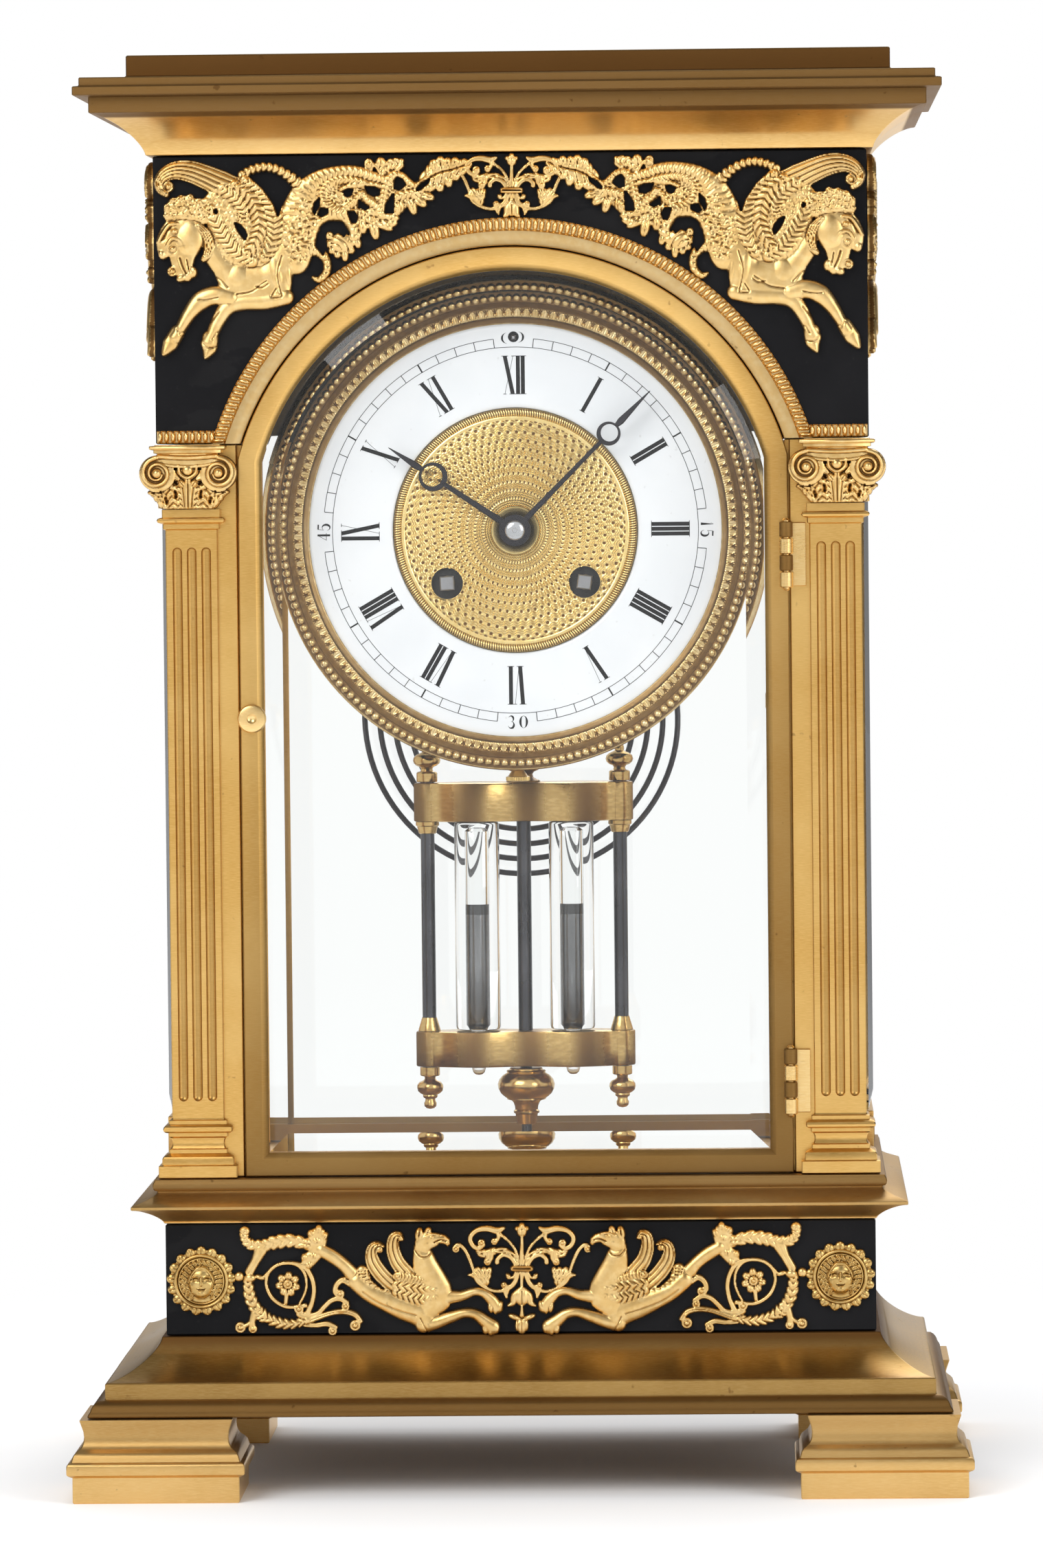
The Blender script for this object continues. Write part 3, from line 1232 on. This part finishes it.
def make_barrels():
    z = DIAL_Z - WIND_DROP
    lid, step = BARREL_LID, BARREL_STEP
    back = BARREL_FRONT + BARREL_D
    arbor_start = FRONT_PLATE_AT - OVERRUN / 2
    arbor_end = BACK_PLATE_AT + PLATE_T
    profile = [
        (0, arbor_start), (ARBOR_R, arbor_start), (ARBOR_R, BARREL_FRONT),
        (BARREL_R - step, BARREL_FRONT), (BARREL_R - step, BARREL_FRONT + lid),
        (BARREL_R, BARREL_FRONT + lid), (BARREL_R, back - lid), (BARREL_R - step, back - lid),
        (BARREL_R - step, back), (ARBOR_R, back), (ARBOR_R, arbor_end), (0, arbor_end),
    ]
    for name, way in (("strike_barrel", -1), ("going_barrel", 1)):
        drum = turned(profile, (way * WIND_X, -HALF_D, z), BARREL_STEPS, True)
        half = SQUARE_W / 2
        square = box(
            (way * WIND_X - half, depth(SQUARE_FRONT), z - half),
            (way * WIND_X + half, depth(arbor_start + ARRIS), z + half),
        )
        part(fuse(drum, square), name, BRASS)


def toothed(radius, tooth, teeth, lean):
    """The outline of a wheel: each tooth is a root point and a tip, the tip leaning forward."""
    points = []
    for i in range(teeth):
        a = 2 * math.pi * i / teeth
        b = a + 2 * math.pi / teeth * (0.5 + lean)
        points.append(((radius - tooth) * math.cos(a), (radius - tooth) * math.sin(a)))
        points.append((radius * math.cos(b), radius * math.sin(b)))
    return points


def windows(outer, inner, spokes, width):
    """The openings between a wheel's spokes."""
    holes = []
    for i in range(spokes):
        a = 2 * math.pi * i / spokes
        b = a + 2 * math.pi / spokes
        da, db = width / 2 / outer, width / 2 / inner
        middle = (a + b) / 2
        ring = [(outer, a + da), (outer, middle), (outer, b - da), (inner, b - db), (inner, a + db)]
        holes.append([(r * math.cos(t), r * math.sin(t)) for r, t in ring])
    return holes


def make_wheels():
    end = BACK_PLATE_AT - SEAT
    start = FRONT_PLATE_AT + PLATE_T + SEAT
    outline = toothed(WHEEL_R, TOOTH_H, WHEEL_TEETH, 0)
    holes = windows(WHEEL_R - TOOTH_H - WHEEL_RIM, WHEEL_HUB, SPOKES, SPOKE_W)
    wheel = flat(outline, holes, WHEEL_T, facing_front(0, WHEEL_FRONT + WHEEL_T / 2, DIAL_Z))
    arbor = rod((0, depth(start), DIAL_Z), (0, depth(end), DIAL_Z), THIN_ARBOR_R, SMALL_SIDES)
    part(fuse(wheel, arbor), "centre_wheel", BRASS, (0, depth(WHEEL_FRONT), DIAL_Z))

    z = DIAL_Z + ESCAPE_RISE
    outline = toothed(ESCAPE_R, ESCAPE_TOOTH, ESCAPE_TEETH, ESCAPE_LEAN_share)
    holes = windows(ESCAPE_R - ESCAPE_TOOTH - WHEEL_RIM, WHEEL_HUB, SPOKES, SPOKE_W)
    wheel = flat(outline, holes, ESCAPE_T, facing_front(0, ESCAPE_FRONT + ESCAPE_T / 2, z))
    start = WHEEL_FRONT + WHEEL_T + OVERRUN
    arbor = rod((0, depth(start), z), (0, depth(end), z), THIN_ARBOR_R, SMALL_SIDES)
    part(fuse(wheel, arbor), "escape_wheel", BRASS, (0, depth(ESCAPE_FRONT), z))

    half = [(u * ANCHOR_W, v * ANCHOR_W) for u, v in ANCHOR_shares]
    outline = half + [(-x, y) for x, y in reversed(half[1:-1])]
    anchor = flat(outline, [], ESCAPE_T, facing_front(0, ESCAPE_FRONT + ESCAPE_T / 2, PIVOT_Z))
    start = FRONT_PLATE_AT + PLATE_T + SEAT
    ends = (0, depth(start), PIVOT_Z), (0, depth(CRUTCH_FRONT + CRUTCH_T), PIVOT_Z)
    arbor = rod(*ends, THIN_ARBOR_R, SMALL_SIDES)
    collar = rod(
        (0, depth(CRUTCH_FRONT - ARRIS), PIVOT_Z), (0, depth(CRUTCH_FRONT + CRUTCH_T + ARRIS), PIVOT_Z),
        CRUTCH_W, SMALL_SIDES,
    )
    low = PIVOT_Z - CRUTCH_L
    crutch = box(
        (-CRUTCH_W / 2, depth(CRUTCH_FRONT), low), (CRUTCH_W / 2, depth(CRUTCH_FRONT + CRUTCH_T), PIVOT_Z),
    )
    inner = ROD_R + BAR_CLEARANCE
    bar = box(
        (-inner - FORK_W, depth(CRUTCH_FRONT), low - FORK_W),
        (inner + FORK_W, depth(CRUTCH_FRONT + CRUTCH_T), low + ARRIS),
    )
    fuse(anchor, arbor, collar, crutch, bar)
    for way in (-1, 1):
        fuse(anchor, box(
            (way * inner, depth(CRUTCH_FRONT), low - FORK_W),
            (way * (inner + FORK_W), depth(FORK_END), low),
        ))
    part(anchor, "anchor_crutch", STEEL, (0, depth(ESCAPE_FRONT), PIVOT_Z))


def make_strike():
    z = DIAL_Z + HAMMER_Z_RISE
    start = FRONT_PLATE_AT + PLATE_T + SEAT
    arbor = rod((HAMMER_X, depth(start), z), (HAMMER_X, depth(HAMMER_BACK), z), THIN_ARBOR_R, SMALL_SIDES)
    way = Vector((-math.sin(HAMMER_LEAN), 0, -math.cos(HAMMER_LEAN)))
    top = Vector((HAMMER_X, depth(GONG_DEPTH), z))
    foot = top + way * HAMMER_ARM_L
    arm = rod(top - way * HAMMER_ARM_W, foot, HAMMER_ARM_W / 2, SMALL_SIDES)
    across = Vector((math.cos(HAMMER_LEAN), 0, -math.sin(HAMMER_LEAN))) * HAMMER_HEAD_L / 2
    head = rod(foot - across, foot + across, HAMMER_HEAD_R, SMALL_SIDES)
    part(fuse(arbor, arm, head), "hammer", STEEL, (HAMMER_X, depth(GONG_DEPTH), z))

    points = []
    count = round(GONG_TURNS * GONG_POINTS)
    for i in range(count + 1):
        turns = i / GONG_POINTS
        r = GONG_R - GONG_PITCH * turns
        a = math.pi / 2 + 2 * math.pi * turns
        points.append(Vector((r * math.cos(a), depth(GONG_DEPTH), GONG_Z + r * math.sin(a))))
    points.append(points[-1] - Vector((GONG_LEAD, 0, 0)))
    nearest = min(
        (a - b).length - 2 * GONG_WIRE_R
        for i, a in enumerate(points)
        for b in points[i + GONG_POINTS // 2:]
    )
    print(f"gong: least gap between turns {nearest * 1000:.2f} mm")
    curve = bpy.data.curves.new("gong", "CURVE")
    curve.dimensions = "3D"
    curve.bevel_depth = GONG_WIRE_R
    curve.bevel_resolution = 1
    curve.use_fill_caps = True
    curve.render_resolution_u = 0
    spline = curve.splines.new("POLY")
    spline.points.add(len(points) - 1)
    for knot, point in zip(spline.points, points):
        knot.co = (*point, 1)
    coil = bpy.data.objects.new("gong", curve)
    TOOLS.objects.link(coil)
    part(coil, "gong_coil", BLUED)

    tip = points[-1]
    low = tip.z + GONG_BLOCK_RISE - GONG_BLOCK_H
    back = depth(GONG_DEPTH) + GONG_BLOCK_H / 2
    near, far = tip.x - SEAT, tip.x - SEAT - GONG_BLOCK
    block = box((near, 2 * depth(GONG_DEPTH) - back, low), (far, back, low + GONG_BLOCK_H))
    arm_top = DIAL_Z - STRAP_DROP
    strap = flat(
        [
            (far, low + ARRIS), (near - ARRIS, low + ARRIS), (near - ARRIS, low + GONG_BLOCK_H),
            (STRAP_X + STRAP_W / 2, arm_top), (STRAP_X - STRAP_W / 2, arm_top),
            (STRAP_X - STRAP_W / 2, arm_top - STRAP_W),
        ],
        [],
        STRAP_T,
        Matrix.Translation((0, back, 0)) @ Matrix.Rotation(math.pi / 2, 4, "X"),
    )
    arm = box(
        (STRAP_X - STRAP_W / 2 + ARRIS, depth(BACK_PLATE_AT + PLATE_T + SEAT), arm_top - STRAP_W),
        (STRAP_X + STRAP_W / 2 - ARRIS, back + STRAP_T / 4, arm_top - ARRIS),
    )
    part(fuse(block, strap, arm), "gong_stand", STEEL)


def bar_outline():
    """Plan of a pendulum bar: round ends, a lobe round each vial, and a hub on the middle rod."""
    near = [(0, BAR_HUB_R)]
    for way in (-1, 1):
        near += [(way * SIDE_ROD_X, BAR_END_R), (way * VIAL_X, BAR_LOBE_R)]
    steps = LOBE_STEPS * len(near)
    edge = []
    for i in range(steps + 1):
        x = -BAR_HALF + 2 * BAR_HALF * i / steps
        y = BAR_WAIST * math.sqrt(max(0, 1 - (abs(x) / BAR_HALF) ** BAR_POWER))
        for centre, r in near:
            if abs(x - centre) < r:
                y = max(y, math.sqrt(r * r - (x - centre) ** 2))
        edge.append((x, y))
    edge[0], edge[-1] = (-BAR_HALF, 0), (BAR_HALF, 0)
    return edge + [(x, -y) for x, y in reversed(edge[1:-1])]


def make_pendulum():
    y = depth(PENDULUM_DEPTH)
    pivot = (0, y, PIVOT_Z)
    neck = PIVOT_Z - (EYE_RING_R + EYE_BORE) / 2
    shoulder = LOWER_BAR_Z - SEAT
    profile = [
        (0, neck), (ROD_R, neck), (ROD_R, shoulder), (ROD_THREAD_R, shoulder - ARRIS),
        (ROD_THREAD_R, ROD_END), (0, ROD_END),
    ]
    rod_body = turned(profile, (0, y, 0), PENDULUM_STEPS)
    ring = [
        (EYE_BORE, PENDULUM_DEPTH - EYE_T / 2), (EYE_RING_R, PENDULUM_DEPTH - EYE_T / 2),
        (EYE_RING_R, PENDULUM_DEPTH + EYE_T / 2), (EYE_BORE, PENDULUM_DEPTH + EYE_T / 2),
    ]
    eye = turned(ring, (0, -HALF_D, PIVOT_Z), WIND_SIDES, True)
    part(fuse(rod_body, eye), "pendulum_rod", STEEL, pivot)

    for name, low, height in (
        ("pendulum_upper_bar", UPPER_BAR_Z, UPPER_BAR_H), ("pendulum_lower_bar", LOWER_BAR_Z, LOWER_BAR_H),
    ):
        holes = [circle(ROD_R + BAR_CLEARANCE, SMALL_SIDES)]
        for way in (-1, 1):
            holes.append(circle(SIDE_ROD_R + BAR_CLEARANCE, SMALL_SIDES, way * SIDE_ROD_X))
            if low == LOWER_BAR_Z:
                holes.append(circle(TEAT_R + BAR_CLEARANCE, SMALL_SIDES, way * VIAL_X))
        there = Matrix.Translation((0, y, low + height / 2))
        part(flat(bar_outline(), holes, height, there), name, GILT, pivot)

    upper_top = UPPER_BAR_Z + UPPER_BAR_H + SEAT
    lower_top = LOWER_BAR_Z + LOWER_BAR_H + SEAT
    for side, way in (("left", -1), ("right", 1)):
        foot = LOWER_BAR_Z - SEAT
        profile = [(0, upper_top + SIDE_ROD_TOP)]
        profile += [(u * FINIAL_R, upper_top + v * SIDE_ROD_TOP) for u, v in FINIAL_shares]
        profile += [(SIDE_ROD_R, upper_top), (SIDE_ROD_R, UPPER_BAR_Z - SEAT)]
        profile += [(u * FERRULE_R, UPPER_BAR_Z - SEAT - v * FERRULE_H) for u, v in FERRULE_shares]
        profile += [(u * FERRULE_R, lower_top + v * FERRULE_H) for u, v in reversed(FERRULE_shares)]
        profile += [(SIDE_ROD_R, lower_top), (SIDE_ROD_R, foot)]
        profile += [(u * FINIAL_R, foot - v * SIDE_ROD_FOOT) for u, v in LOWER_FINIAL_shares]
        profile.append((0, foot - SIDE_ROD_FOOT))
        side_rod = turned(profile, (way * SIDE_ROD_X, y, 0), SMALL_SIDES)
        part(side_rod, f"pendulum_side_rod_{side}", STEEL, pivot)
        top = UPPER_BAR_Z - SEAT
        profile = [
            (0, top), (VIAL_R, top), (VIAL_R, lower_top + TEAT_R), (VIAL_R * VIAL_FOOT_share, lower_top),
            (TEAT_R, lower_top), (TEAT_R, TEAT_END + TEAT_R),
            (TEAT_R * TEAT_TIP_share, TEAT_END + TEAT_R * (1 - TEAT_TIP_share)),
            (0, TEAT_END),
        ]
        part(turned(profile, (way * VIAL_X, y, 0), VIAL_STEPS), f"mercury_vial_{side}", GLASS, pivot)

    top = LOWER_BAR_Z - 2 * SEAT - ARRIS
    bore = ROD_THREAD_R + BAR_CLEARANCE
    profile = [(u * NUT_R, top - v * NUT_H) for u, v in NUT_shares]
    profile += [(bore, top - NUT_H), (bore, top)]
    nut = turned(profile, (0, y, 0), NUT_SIDES)
    part(nut, "rating_nut", GILT, (0, y, top))


make_feet()
make_base()
make_posts()
part(capital(-1), "capital_left", GILT)
part(capital(1), "capital_right", GILT)
make_upper()
make_arch_moulding()
make_side_glasses()
make_door("front", 1)
make_door("rear", -1)
make_mounts()
make_dial()
make_hands()
make_plates()
make_barrels()
make_wheels()
make_strike()
make_pendulum()
